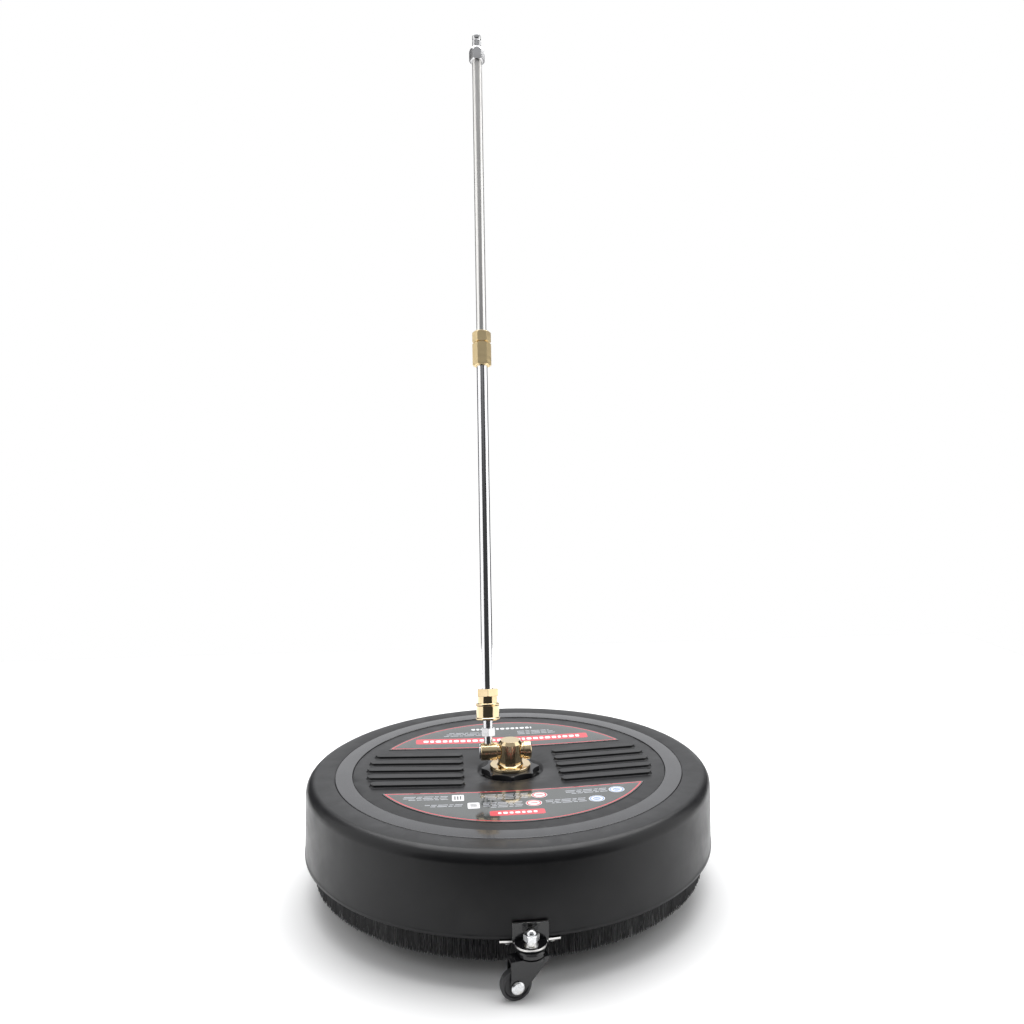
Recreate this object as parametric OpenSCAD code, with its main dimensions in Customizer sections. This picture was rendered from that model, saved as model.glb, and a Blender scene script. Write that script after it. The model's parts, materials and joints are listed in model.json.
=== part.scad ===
// Flat surface cleaner: a round shroud on three swivel casters, with a skirt of bristles,
// a spinning spray bar below the deck, and a two-piece lance on a tilting brass swivel.
// Frame: +Z up, origin on the rotor's axis at floor level, -Y to the front caster,
// +Y to the operator, X along the lance's tilt axis. Millimetres.

/* [Shroud] */
// Height of the deck's flat top above the floor
deck_z = 111; // [109:1:114]
// Radius of the shroud at its lower rim
rim_r = 201; // [200.5:0.5:202]
// Height of the shroud's side, from the rim to the deck
side_h = 70; // [69:1:71]
// Thickness of the shroud's side wall
wall = 3.6; // [3:0.2:4]
// Slope of the dished deck panel, in degrees
dish_slope = 2.1; // [1.5:0.1:2.4]

/* [Deck details] */
// Inner radius of the grey trim ring
trim_ri = 155.4; // [155:0.1:155.8]
// Outer radius of the grey trim ring
trim_ro = 171.6; // [171:0.1:171.8]
// Number of moulded ridges on each side of the deck
ridges = 5; // [3:2:5]
// Distance between two ridges
ridge_pitch = 19.5; // [18:0.5:20]
// Height of a ridge
ridge_h = 2.6; // [1.5:0.1:3]
// Radius that bounds both labels and the outer ends of the ridges
label_r = 137.5; // [134:0.5:139]
// Distance of a label's straight edge from the centre
label_chord = 60.5; // [58:0.5:62]

/* [Brush] */
// Outer radius of the bristles
brush_r = 191.6; // [190:0.2:191.6]
// Height of the bristles' tips above the floor
brush_z = 18.5; // [10:0.5:22]

/* [Lance] */
// Lean of the lance towards the operator, in degrees from upright
lean = 12; // [0:1:20]
// Distance of the lance from the rotor's axis, along the tilt axis
lance_x = -21.8; // [-23:0.2:-21.4]
// Radius of a quick-connect plug's stem
plug_r = 4.9; // [4.6:0.1:5]
// Outer radius of the lower tube
lower_tube_r = 5.8; // [5.5:0.1:6]
// Outer radius of the upper tube
upper_tube_r = 5.4; // [5.2:0.1:5.6]
// Distance from the tilt axis to the lower end of the joint between the tubes
joint_s = 399; // [300:1:450]
// Distance from the tilt axis to the lower end of the top collar
collar_s = 747; // [600:1:850]

/* [Casters] */
// Number of casters
casters = 3; // [3:1:3]
// Distance of a caster's stem from the rotor's axis
stem_r = 210; // [209.5:0.5:211]
// Radius of a wheel
wheel_r = 12.5; // [12:0.5:12.5]
// Distance of the axle behind the stem
trail = 13; // [12:0.5:13]
// Direction in which the front caster trails, in degrees from -X towards -Y
trail_angle = 11; // [0:1:30]

/* [Spray bar] */
// Distance of a nozzle from the rotor's axis
nozzle_r = 158; // [140:1:160]
// Direction of the spray bar at rest, in degrees from +X
bar_angle = 25; // [0:5:90]

/* [Hidden] */
$fn = 96;
eps = 0.01;

FRONT = 0;
RIGHT = 1;
LEFT = 2;

black = "#2b2b2d";
grey = "#85858a";
brass = "#c9a566";
steel = "#c8c8ca";
rubber = "#1b1b1b";

// Shroud
rim_z = deck_z - side_h;
shoulder_r = 10;
shoulder_top_r = 189;
wall_top_r = shoulder_top_r + shoulder_r;
lip_h = 4;
lip_step = 0.5;
seat_gap = 0.8;
seat_depth = 3;
panel_r = trim_ri - seat_gap;
panel_t = 4;
panel_edge_drop = 0.5;
well_r = 33;
well_drop = 9.5;
boss_r = 42;
boss_t = 5;
flange_t = 4;
flange_ri = 179;
stiffeners = 12;
stiffener_t = 2.4;
stiffener_drop = 16;
shank_bore_r = 12.5;

// Height of the dished panel's top at radius r
function panel_z(r) = deck_z - panel_edge_drop - (panel_r - r) * tan(dish_slope);
// Points of an arc about [cx, cz]
function arc(cx, cz, r, from, to, steps = 12) =
    [for (i = [0 : steps]) let (a = from + (to - from) * i / steps) [cx + r * cos(a), cz + r * sin(a)]];

// Ridges
ridge_half = 5;
ridge_edge_r = 0.7;
ridge_foot_r = 1.6;
ridge_root = 1.5;
ridge_x0 = 47;
ridge_end_r = label_r + 4;

// Labels
label_t = 0.5;
label_gap = 0.05;

// Brush
bristle_t = 3.4;
carrier_ri = 180;
carrier_t = 2;
channel_h = 2.5;
channel_lip = 1;
bristle_root_z = rim_z - 1.5;
brush_screws_n = 8;
brush_screw_r = 183.5;

// Small screws of the skirt and the brackets
screw_shank_r = 2;
screw_head_r = 3.4;
screw_head_h = 2.2;
screw_reach = 3.4;

// Swivel
pivot_z = deck_z + 14;
shank_r = 12;
shank_drop = 26;
body_flange_r = 20.5;
body_flange_z0 = deck_z - 2.7;
body_flange_t = 3.2;
body_r = 12.2;
body_shoulder_z = deck_z + 22;
body_top_z = deck_z + 25;
body_top_r = 9.6;
side_boss_r = 7.6;
side_boss_x = 12.8;
spindle_r = 5;
footprint_shift = 10.2;
fit = 0.06;
bearing_r = 8;
shaft_r = 4;
chamber_top_z = deck_z + 6;
knob_r = 29.2;
knob_lobes = 8;
flute_r = 19.3;
flute_at = 43.8;
gasket_t = 1;
washer_t = 2;
washer_r = 30;
clamp_nut_af = 36;
clamp_nut_h = 8;
deck_under_z = deck_z - well_drop - boss_t;
upper_bearing_z = deck_z - 6;
lower_bearing_z = deck_z - 22;
bearing_h = 5;
seal_h = 4;
circlip_h = 1.2;

// Elbow, along the tilt axis
elbow_r = 8.75;
elbow_x0 = lance_x - 7.7;
elbow_x1 = -side_boss_x - 0.3;
spindle_head_r = 7.4;
spindle_head_t = 1.3;
spindle_thread_r = 4;
spindle_end_x = 18;
cap_r = 8.8;
cap_x1 = 21;

// Lance, as distances from the tilt axis along the lance
neck_s = 15.2;
hex_s = 23.1;
plug_tip_s = 48.5;
elbow_hex_af = 13;
plug_neck_r = 4.45;
plug_bore_r = 2;
ball_s = 37;
ball_r = 1.5;
ball_ring_r = plug_r + 1.3;
balls = 6;
nose_r = ball_ring_r + ball_r;
sleeve_r = 12.25;
sleeve_waist_r = 11.5;
sleeve_s0 = 31.2;
sleeve_s1 = 47.8;
sleeve_bore_r = 10.2;
sleeve_rim = 2.6;
collar_half = 2.6;
nose_s0 = 31.6;
neck_s0 = 47.4;
nut_s0 = 54.8;
nut_s1 = 62;
coupler_af = 20.6;
seal_s = 43.5;
seal_wire_r = 0.7;
tube_s0 = 57;
tube_wall = 1.3;
joint_af = 17.2;
joint_break_s = joint_s + 24.9;
joint_gap = 0.3;
joint_collar_h = 3.8;
joint_lap = 0.1;
joint_end_s = joint_s + 37.3;
tube_insert = 8;
collar_af = 15;
collar_h = 16.4;
collar_dome_h = 7;
top_plug_l = 31.6 - collar_h;
groove_up = 8.3;
groove_l = 2.6;
groove_cut = 0.7;

// Casters
plate_t = 2.5;
shelf_r = 13;
shelf_at = 204;
base_ri = 193.2;
base_ro = 202;
wing = 24.5;
wing_depth = 20;
shelf_web = 5;
upright_half = 14.5;
upright_h = 15;
upright_r0 = 201.4;
upright_t = 1.8;
bracket_screw_r = 197.4;
bracket_screw_y = 18;
stem_bolt_r = 4;
head_r = 10.7;
head_z0 = wheel_r * 2 + 9;
head_z1 = rim_z - plate_t;
pin_r = 3;
pin_head_r = 4.3;
pin_head_h = 2.2;
crown_t = 2;
crown_z1 = head_z0 - 0.3;
cheek_in = 4.6;
cheek_t = 1.8;
cheek_end_r = 7.2;
cheek_back = 5.2;
cheek_front = 12.8;
axle_r = 2.5;
axle_head_r = 5.2;
axle_head_t = 1.8;
wheel_w = 8.4;
sweep_gap = 0.8;
fork_sweep_r = sqrt(pow(trail + cheek_back, 2) + pow(cheek_in + cheek_t, 2)) + sweep_gap;
wheel_sweep_r = trail + wheel_r + sweep_gap;
washer_h = 1;
washer_ro = 5.6;
nut_collar_r = 4.7;
nut_collar_h = 3.6;
stem_nut_af = 11;
stem_nut_h = 5.4;
stem_dome_r = 3.9;
stem_dome_h = 3.4;

// Spray bar
bar_z = 67;
bar_r = 5;
bar_bore_r = 3;
hub_r = 17;
hub_h = 16;
hub_boss_r = 9;
hub_nut_af = 13;
hub_nut_h = 7;
bar_s0 = 12;
nozzle_drop = 14;
holder_r = 6.2;
holder_up = 6.5;
holder_bore_r = 2.4;
nozzle_cant = 20;
nozzle_l = 12;
nozzle_hex_l = 7;
nozzle_body_r = 5.5;
nozzle_tip_r = 3.4;
arm_nut_af = 14;
arm_nut_l = 6;

// ---- helpers ----

module tube(ro, ri, h) {
    difference() {
        cylinder(r = ro, h = h);
        translate([0, 0, -1])
            cylinder(r = ri, h = h + 2);
    }
}

// Hexagonal prism by its width across flats, with the corners turned off at both ends
module hex(af, h, bevel = 0.8) {
    corner_r = af / sqrt(3);
    cut = bevel * 0.6;
    intersection() {
        cylinder(r = corner_r, h = h, $fn = 6);
        rotate_extrude()
            polygon([[0, 0], [corner_r - bevel, 0], [corner_r + eps, cut], [corner_r + eps, h - cut],
                     [corner_r - bevel, h], [0, h]]);
    }
}

// Puts its children in the lance's frame: origin on the tilt axis, +Z along the lance
module on_lance() {
    translate([lance_x, 0, pivot_z])
        rotate([-lean, 0, 0])
            children();
}

// Turns its children from the front caster's place to the place of caster i
module at_caster(i) {
    rotate([0, 0, 360 / casters * i])
        children();
}

// Puts its children on the stem of caster i, with +X pointing against the trail
module on_fork(i) {
    at_caster(i)
        translate([0, -stem_r, 0])
            rotate([0, 0, trail_angle])
                children();
}

module at_brush_screws() {
    for (i = [0 : brush_screws_n - 1])
        rotate([0, 0, 360 / brush_screws_n * (i + 0.5)])
            translate([brush_screw_r, 0, 0])
                children();
}

module at_bracket_screws() {
    for (i = [0 : casters - 1])
        at_caster(i)
            for (y = [-bracket_screw_y, bracket_screw_y])
                translate([y, -sqrt(pow(bracket_screw_r, 2) - y * y), 0])
                    children();
}

// Pan-head screw from below; z = 0 is the seat of its head
module pan_screw() {
    rotate_extrude()
        polygon(concat([[0, -screw_head_h], [screw_head_r * 0.6, -screw_head_h], [screw_head_r, -screw_head_h * 0.45]],
                       [[screw_head_r, 0], [screw_shank_r, 0], [screw_shank_r, screw_reach + carrier_t],
                        [0, screw_reach + carrier_t]]));
}

// ---- shroud ----

module shroud_profile() {
    polygon(concat(
        [[shank_bore_r, deck_z - well_drop], [well_r, deck_z - well_drop], [well_r + 0.8, panel_z(well_r + 0.8)],
         [panel_r, panel_z(panel_r)], [panel_r, deck_z - seat_depth], [trim_ro + seat_gap, deck_z - seat_depth],
         [trim_ro + seat_gap, deck_z]],
        arc(shoulder_top_r, deck_z - shoulder_r, shoulder_r, 90, 0, 16),
        [[rim_r - lip_step, rim_z + lip_h], [rim_r, rim_z + lip_h - lip_step], [rim_r, rim_z + 1], [rim_r - 1, rim_z],
         [flange_ri, rim_z], [flange_ri, rim_z + flange_t], [rim_r - lip_step - wall, rim_z + flange_t]],
        arc(shoulder_top_r, deck_z - shoulder_r, shoulder_r - wall, 0, 90, 12),
        [[trim_ro + seat_gap + 5, deck_z - wall], [trim_ro + seat_gap + 2, deck_z - seat_depth - wall],
         [panel_r - 2, deck_z - seat_depth - wall], [panel_r - 5, panel_z(panel_r - 5) - panel_t],
         [boss_r, panel_z(boss_r) - panel_t], [boss_r, deck_under_z], [shank_bore_r, deck_under_z]]));
}

// Half of a ridge's cross-section, with a rounded top edge and a fillet at its foot
module ridge_profile() {
    toe = ridge_half + ridge_foot_r;
    polygon(concat(
        [[0, -ridge_root], [0, ridge_h]],
        arc(ridge_half - ridge_edge_r, ridge_h - ridge_edge_r, ridge_edge_r, 90, 0, 3),
        arc(toe, ridge_foot_r, ridge_foot_r, 180, 270, 3),
        [[toe, -ridge_root]]));
}

// One ridge along X at distance y from the middle; side is 1 on the right and -1 on the left
module ridge(y, side) {
    x0 = ridge_x0 + ridge_half;
    x1 = sqrt(pow(ridge_end_r, 2) - y * y) - ridge_half;
    z0 = panel_z(norm([x0, y]));
    z1 = panel_z(norm([x1, y]));
    length = norm([x1 - x0, z1 - z0]);
    mirror([side < 0 ? 1 : 0, 0, 0])
        translate([x0, y, z0])
            rotate([0, -atan2(z1 - z0, x1 - x0), 0]) {
                rotate([90, 0, 90])
                    linear_extrude(length) {
                        ridge_profile();
                        mirror([1, 0])
                            ridge_profile();
                    }
                for (x = [0, length])
                    translate([x, 0, 0])
                        rotate_extrude()
                            ridge_profile();
            }
}

module stiffener_rib() {
    r0 = boss_r - 1;
    r1 = panel_r - 6;
    top = 1;
    rotate([90, 0, 0])
        translate([0, 0, -stiffener_t / 2])
            linear_extrude(stiffener_t)
                polygon([[r0, deck_z - stiffener_drop], [r1 - 8, deck_z - stiffener_drop],
                         [r1, panel_z(r1) - panel_t - 1], [r1, panel_z(r1) - top], [r0, panel_z(r0) - top]]);
}

module shroud() {
    color(black)
        difference() {
            union() {
                rotate_extrude()
                    shroud_profile();
                for (i = [0 : stiffeners - 1])
                    rotate([0, 0, 360 / stiffeners * (i + 0.5)])
                        stiffener_rib();
                for (side = [-1, 1])
                    for (i = [0 : ridges - 1])
                        ridge((i - (ridges - 1) / 2) * ridge_pitch, side);
            }
            at_brush_screws()
                translate([0, 0, rim_z - 1])
                    cylinder(r = screw_shank_r, h = flange_t + 2);
            at_bracket_screws()
                translate([0, 0, rim_z - 1])
                    cylinder(r = screw_shank_r, h = flange_t + 2);
        }
}

module trim_ring() {
    top = seat_depth + 0.2;
    edge = 0.5;
    color(grey)
        translate([0, 0, deck_z - seat_depth])
            rotate_extrude()
                polygon([[trim_ri, 0], [trim_ro, 0], [trim_ro, top - edge], [trim_ro - edge, top],
                         [trim_ri + edge, top], [trim_ri, top - edge]]);
}

// Thin printed plate that lies on the dished panel; side is 1 at the rear and -1 at the front
module label(side) {
    r0 = label_chord - 1;
    color("#8f9294")
        intersection() {
            rotate_extrude()
                polygon([[r0, panel_z(r0) + label_gap], [label_r, panel_z(label_r) + label_gap],
                         [label_r, panel_z(label_r) + label_gap + label_t], [r0, panel_z(r0) + label_gap + label_t]]);
            translate([-label_r - 1, side > 0 ? label_chord : -label_chord - label_r, deck_z - 20])
                cube([2 * label_r + 2, label_r, 40]);
        }
}

module label_front() label(-1);
module label_rear() label(1);

// ---- brush ----

module brush_carrier() {
    color(black)
        difference() {
            rotate_extrude()
                polygon([[carrier_ri, rim_z - carrier_t], [brush_r - bristle_t - channel_lip, rim_z - carrier_t],
                         [brush_r - bristle_t - channel_lip, rim_z - carrier_t - channel_h],
                         [brush_r - bristle_t, rim_z - carrier_t - channel_h], [brush_r - bristle_t, bristle_root_z],
                         [brush_r, bristle_root_z], [brush_r, rim_z - carrier_t - channel_h],
                         [brush_r + channel_lip, rim_z - carrier_t - channel_h], [brush_r + channel_lip, rim_z],
                         [carrier_ri, rim_z]]);
            at_brush_screws()
                translate([0, 0, rim_z - carrier_t - 1])
                    cylinder(r = screw_shank_r, h = carrier_t + 2);
        }
}

// Ring of bristles, with a relief where each caster's fork and wheel swing through
module brush_skirt() {
    color(rubber)
        difference() {
            translate([0, 0, brush_z])
                tube(brush_r, brush_r - bristle_t, bristle_root_z - brush_z);
            for (i = [0 : casters - 1])
                at_caster(i)
                    translate([0, -stem_r, 0]) {
                        cylinder(r = fork_sweep_r, h = crown_z1 + sweep_gap / 2);
                        cylinder(r = wheel_sweep_r, h = 2 * wheel_r + sweep_gap);
                    }
        }
}

module brush_screws() {
    color(steel)
        at_brush_screws()
            translate([0, 0, rim_z - carrier_t])
                pan_screw();
}

// ---- swivel ----

module deck_gasket() {
    color(rubber)
        translate([0, 0, deck_z - well_drop])
            tube(knob_r - 3, shank_bore_r + 0.5, gasket_t);
}

module lock_knob() {
    bottom = deck_z - well_drop + gasket_t;
    height = body_flange_z0 - bottom;
    edge = 0.8;
    color(black)
        translate([0, 0, bottom])
            difference() {
                rotate_extrude()
                    polygon([[shank_r + 0.1, 0], [knob_r - edge, 0], [knob_r, edge], [knob_r, height - edge],
                             [knob_r - edge, height], [shank_r + 0.1, height]]);
                for (i = [0 : knob_lobes - 1])
                    rotate([0, 0, 360 / knob_lobes * (i + 0.5)])
                        translate([flute_at, 0, -1])
                            cylinder(r = flute_r, h = height + 2);
            }
}

module deck_washer() {
    color(steel)
        translate([0, 0, deck_under_z - washer_t])
            tube(washer_r, shank_r + 0.3, washer_t);
}

module clamp_nut() {
    color(steel)
        translate([0, 0, deck_under_z - washer_t - clamp_nut_h])
            difference() {
                hex(clamp_nut_af, clamp_nut_h, 1.5);
                translate([0, 0, -1])
                    cylinder(r = shank_r + 0.1, h = clamp_nut_h + 2);
            }
}

module swivel_body() {
    flange_top = body_flange_z0 + body_flange_t;
    fillet_r = 2.5;
    color(brass)
        difference() {
            union() {
                rotate_extrude()
                    polygon(concat(
                        [[0, deck_z - shank_drop], [shank_r - 1, deck_z - shank_drop],
                         [shank_r, deck_z - shank_drop + 1], [shank_r, body_flange_z0],
                         [body_flange_r - 0.4, body_flange_z0], [body_flange_r, body_flange_z0 + 0.4],
                         [body_flange_r, flange_top - 0.6], [body_flange_r - 0.6, flange_top]],
                        arc(body_r + fillet_r, flange_top + fillet_r, fillet_r, 270, 180, 6),
                        [[body_r, body_shoulder_z], [body_top_r, body_top_z], [0, body_top_z]]));
                translate([-side_boss_x, 0, pivot_z])
                    rotate([0, 90, 0])
                        cylinder(r = side_boss_r, h = 2 * side_boss_x);
            }
            translate([-side_boss_x - 1, 0, pivot_z])
                rotate([0, 90, 0])
                    cylinder(r = spindle_r, h = 2 * side_boss_x + 2);
            translate([0, 0, deck_z - shank_drop - 1])
                cylinder(r = bearing_r, h = chamber_top_z - deck_z + shank_drop + 1);
            cylinder(r = plug_bore_r, h = pivot_z);
        }
}

// Hollow spindle across the swivel: a head outside the elbow, a thread for the cap at the other end
module pivot_spindle() {
    x0 = elbow_x0 - spindle_head_t - 0.3;
    color(steel)
        translate([x0, 0, pivot_z])
            difference() {
                rotate([0, 90, 0])
                    rotate_extrude()
                        polygon([[0, 0], [spindle_head_r - 0.4, 0], [spindle_head_r, 0.4],
                                 [spindle_head_r, spindle_head_t], [spindle_r, spindle_head_t],
                                 [spindle_r, side_boss_x - x0], [spindle_thread_r, side_boss_x - x0],
                                 [spindle_thread_r, spindle_end_x - x0], [0, spindle_end_x - x0]]);
                translate([5, 0, 0])
                    rotate([0, 90, 0])
                        cylinder(r = plug_bore_r, h = -x0 - 5);
                translate([-x0, 0, -spindle_r - 1])
                    cylinder(r = plug_bore_r, h = spindle_r + 1);
                translate([lance_x - x0, 0, 0])
                    rotate([-lean, 0, 0])
                        cylinder(r = plug_bore_r, h = spindle_r + 1);
            }
}

module pivot_cap() {
    x0 = side_boss_x + 0.2;
    color(brass)
        translate([x0, 0, pivot_z])
            rotate([0, 90, 0])
                difference() {
                    rotate_extrude()
                        polygon([[0, 0], [cap_r - 0.6, 0], [cap_r, 0.6], [cap_r, cap_x1 - x0 - 0.8],
                                 [cap_r - 0.8, cap_x1 - x0], [0, cap_x1 - x0]]);
                    translate([0, 0, -1])
                        cylinder(r = spindle_thread_r + 0.05, h = spindle_end_x - x0 + 1.2);
                }
}

// Ball bearing with a shallow shield recess on both faces
module bearing(z) {
    recess = 0.4;
    race = 1;
    ri = shaft_r + fit;
    color(steel)
        translate([0, 0, z])
            rotate_extrude()
                polygon([[ri, 0], [ri + race, 0], [ri + race, recess], [bearing_r - race, recess],
                         [bearing_r - race, 0], [bearing_r, 0], [bearing_r, bearing_h],
                         [bearing_r - race, bearing_h], [bearing_r - race, bearing_h - recess],
                         [ri + race, bearing_h - recess], [ri + race, bearing_h], [ri, bearing_h]]);
}

module upper_bearing() bearing(upper_bearing_z);
module lower_bearing() bearing(lower_bearing_z);

module shaft_seal() {
    color(rubber)
        translate([0, 0, upper_bearing_z + bearing_h + 0.5])
            tube(bearing_r, shaft_r + fit, seal_h);
}

module bearing_circlip() {
    band = 2;
    gap = 3;
    color(steel)
        translate([0, 0, lower_bearing_z - circlip_h])
            difference() {
                tube(bearing_r, bearing_r - band, circlip_h);
                translate([-gap / 2, 0, -1])
                    cube([gap, bearing_r + 1, circlip_h + 2]);
            }
}

// ---- elbow ----

module inlet_elbow() {
    width = elbow_x1 - elbow_x0;
    edge = 0.6;
    color(brass)
        difference() {
            translate([elbow_x0, 0, pivot_z])
                rotate([0, 90, 0])
                    rotate_extrude()
                        polygon([[spindle_r + fit, 0], [elbow_r - edge, 0], [elbow_r, edge],
                                 [elbow_r, width - edge], [elbow_r - edge, width], [spindle_r + fit, width]]);
            on_lance()
                cylinder(r = plug_neck_r, h = elbow_r + 2);
        }
}

// Plug stem of length l with its ball groove; z = 0 is its root
module plug_stem(l, groove_at) {
    tip = 0.8;
    rotate_extrude()
        polygon([[plug_bore_r, 0], [plug_r, 0], [plug_r, groove_at], [plug_r - groove_cut, groove_at + groove_cut],
                 [plug_r - groove_cut, groove_at + groove_l - groove_cut], [plug_r, groove_at + groove_l],
                 [plug_r, l - tip], [plug_r - tip, l], [plug_bore_r, l]]);
}

module elbow_plug() {
    thread_s = spindle_r + 0.6;
    color(steel)
        on_lance() {
            translate([0, 0, thread_s])
                tube(plug_neck_r, plug_bore_r, neck_s - thread_s + eps);
            translate([0, 0, neck_s])
                difference() {
                    rotate([0, 0, 30])
                        hex(elbow_hex_af, hex_s - neck_s);
                    translate([0, 0, -1])
                        cylinder(r = plug_bore_r, h = hex_s - neck_s + 2);
                }
            translate([0, 0, hex_s - eps])
                plug_stem(plug_tip_s - hex_s, ball_s - hex_s - groove_l / 2);
        }
}

// ---- lance ----

module coupler_body() {
    color(brass)
        on_lance()
            difference() {
                union() {
                    translate([0, 0, nose_s0])
                        cylinder(r = nose_r, h = neck_s0 - nose_s0 + eps);
                    translate([0, 0, neck_s0])
                        cylinder(r = sleeve_bore_r - fit, h = nut_s0 - neck_s0 + eps);
                    translate([0, 0, nut_s0])
                        rotate([0, 0, 30])
                            hex(coupler_af, nut_s1 - nut_s0, 1);
                }
                translate([0, 0, nose_s0 - 1])
                    cylinder(r = plug_r + fit, h = plug_tip_s - nose_s0 + 2);
                cylinder(r = plug_bore_r, h = tube_s0 + 1);
                translate([0, 0, tube_s0])
                    cylinder(r = lower_tube_r, h = nut_s1);
                translate([0, 0, seal_s])
                    rotate_extrude()
                        translate([plug_r + fit + seal_wire_r, 0])
                            circle(r = seal_wire_r + 0.05);
                for (i = [0 : balls - 1])
                    rotate([0, 0, 360 / balls * i])
                        translate([0, 0, ball_s])
                            rotate([0, 90, 0])
                                cylinder(r = ball_r + 0.1, h = nose_r + 1);
            }
}

module coupler_seal() {
    color(rubber)
        on_lance()
            translate([0, 0, seal_s])
                rotate_extrude()
                    translate([plug_r + fit + seal_wire_r, 0])
                        circle(r = seal_wire_r);
}

module lock_balls() {
    color(steel)
        on_lance()
            for (i = [0 : balls - 1])
                rotate([0, 0, 360 / balls * i])
                    translate([ball_ring_r - 0.05, 0, ball_s])
                        sphere(r = ball_r);
}

// Return spring of the sleeve, at its pressed length
module sleeve_spring() {
    wire_r = 0.45;
    turns = 4;
    color(steel)
        on_lance()
            for (i = [0 : turns - 1])
                translate([0, 0, neck_s0 - wire_r - 0.05 - 2 * wire_r * i * 1.02])
                    rotate_extrude()
                        translate([(nose_r + sleeve_bore_r) / 2, 0])
                            circle(r = wire_r);
}

module coupler_sleeve() {
    length = sleeve_s1 - sleeve_s0;
    collar_bore = nose_r + fit;
    c0 = ball_s - collar_half - sleeve_s0;
    c1 = ball_s + collar_half - 0.6 - sleeve_s0;
    step = sleeve_r - sleeve_waist_r;
    color(brass)
        on_lance()
            translate([0, 0, sleeve_s0])
                rotate_extrude()
                    polygon([[collar_bore + 0.8, 0], [sleeve_r - 0.5, 0], [sleeve_r, 0.5], [sleeve_r, sleeve_rim - step],
                             [sleeve_waist_r, sleeve_rim], [sleeve_waist_r, length - sleeve_rim],
                             [sleeve_r, length - sleeve_rim + step], [sleeve_r, length - 0.5],
                             [sleeve_r - 0.5, length], [sleeve_bore_r, length], [sleeve_bore_r, c1],
                             [collar_bore, c1], [collar_bore, c0], [collar_bore + 0.8, c0 - 0.8]]);
}

module lower_tube() {
    color(steel)
        on_lance()
            translate([0, 0, tube_s0])
                tube(lower_tube_r, lower_tube_r - tube_wall, joint_s + tube_insert - tube_s0);
}

module joint_socket() {
    height = joint_break_s - joint_s;
    bevel = 1.6;
    seat_h = 4;
    color(brass)
        on_lance()
            translate([0, 0, joint_s])
                difference() {
                    hex(joint_af, height, bevel);
                    translate([0, 0, -1])
                        cylinder(r = lower_tube_r, h = tube_insert + 1);
                    cylinder(r = plug_bore_r + 1, h = height);
                    translate([0, 0, height - seat_h])
                        cylinder(r = upper_tube_r + 1, h = seat_h + 1);
                }
}

module joint_nut() {
    height = joint_end_s - joint_break_s;
    bevel = 1.8;
    color(brass)
        on_lance()
            translate([0, 0, joint_break_s]) {
                difference() {
                    translate([0, 0, joint_gap])
                        hex(joint_af, height - joint_gap, bevel);
                    cylinder(r = upper_tube_r, h = height + 1);
                }
                translate([0, 0, -joint_collar_h])
                    tube(upper_tube_r + 1, upper_tube_r, joint_collar_h + joint_gap + joint_lap);
            }
}

module upper_tube() {
    s0 = joint_break_s - joint_collar_h;
    color(steel)
        on_lance()
            translate([0, 0, s0])
                tube(upper_tube_r, upper_tube_r - tube_wall, collar_s + tube_insert - s0);
}

module top_collar() {
    corner_r = collar_af / sqrt(3);
    color(steel)
        on_lance()
            translate([0, 0, collar_s])
                difference() {
                    intersection() {
                        cylinder(r = corner_r, h = collar_h, $fn = 6);
                        rotate_extrude()
                            polygon(concat(
                                [[0, 0], [corner_r - 1.4, 0], [corner_r, 1]],
                                [for (i = [0 : 8]) let (a = 90 * i / 8)
                                    [plug_r + (corner_r - plug_r) * cos(a),
                                     collar_h - collar_dome_h + collar_dome_h * sin(a)]],
                                [[0, collar_h]]));
                    }
                    translate([0, 0, -1])
                        cylinder(r = upper_tube_r, h = tube_insert + 1);
                    cylinder(r = plug_bore_r, h = collar_h + 1);
                }
}

module top_plug() {
    color(steel)
        on_lance()
            translate([0, 0, collar_s + collar_h])
                plug_stem(top_plug_l, groove_up);
}

// ---- spray bar ----

module rotor_shaft() {
    top = chamber_top_z - 0.6;
    bottom = bar_z - hub_h / 2;
    color(steel)
        translate([0, 0, bottom])
            difference() {
                cylinder(r = shaft_r, h = top - bottom);
                translate([0, 0, bar_z - bottom - 4])
                    cylinder(r = plug_bore_r, h = top);
                translate([-shaft_r - 1, 0, bar_z - bottom])
                    rotate([0, 90, 0])
                        cylinder(r = plug_bore_r, h = 2 * shaft_r + 2);
            }
}

module on_bar(turn) {
    translate([0, 0, bar_z])
        rotate([0, 0, bar_angle + turn])
            children();
}

module rotor_hub() {
    edge = 1;
    color(brass)
        difference() {
            translate([0, 0, bar_z])
                rotate_extrude()
                    polygon([[shaft_r, -hub_h / 2], [hub_r - edge, -hub_h / 2], [hub_r, edge - hub_h / 2],
                             [hub_r, hub_h / 2 - edge], [hub_r - edge, hub_h / 2], [hub_boss_r, hub_h / 2],
                             [hub_boss_r - 1, hub_h / 2 + 5], [shaft_r, hub_h / 2 + 5]]);
            for (turn = [0, 180])
                on_bar(turn)
                    rotate([0, 90, 0])
                        cylinder(r = bar_bore_r, h = hub_r + 1);
            for (turn = [0, 180])
                on_bar(turn)
                    translate([bar_s0, 0, 0])
                        rotate([0, 90, 0])
                            cylinder(r = bar_r, h = hub_r);
        }
}

module hub_nut() {
    color(steel)
        translate([0, 0, bar_z - hub_h / 2 - hub_nut_h])
            hex(hub_nut_af, hub_nut_h, 1.2);
}

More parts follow.
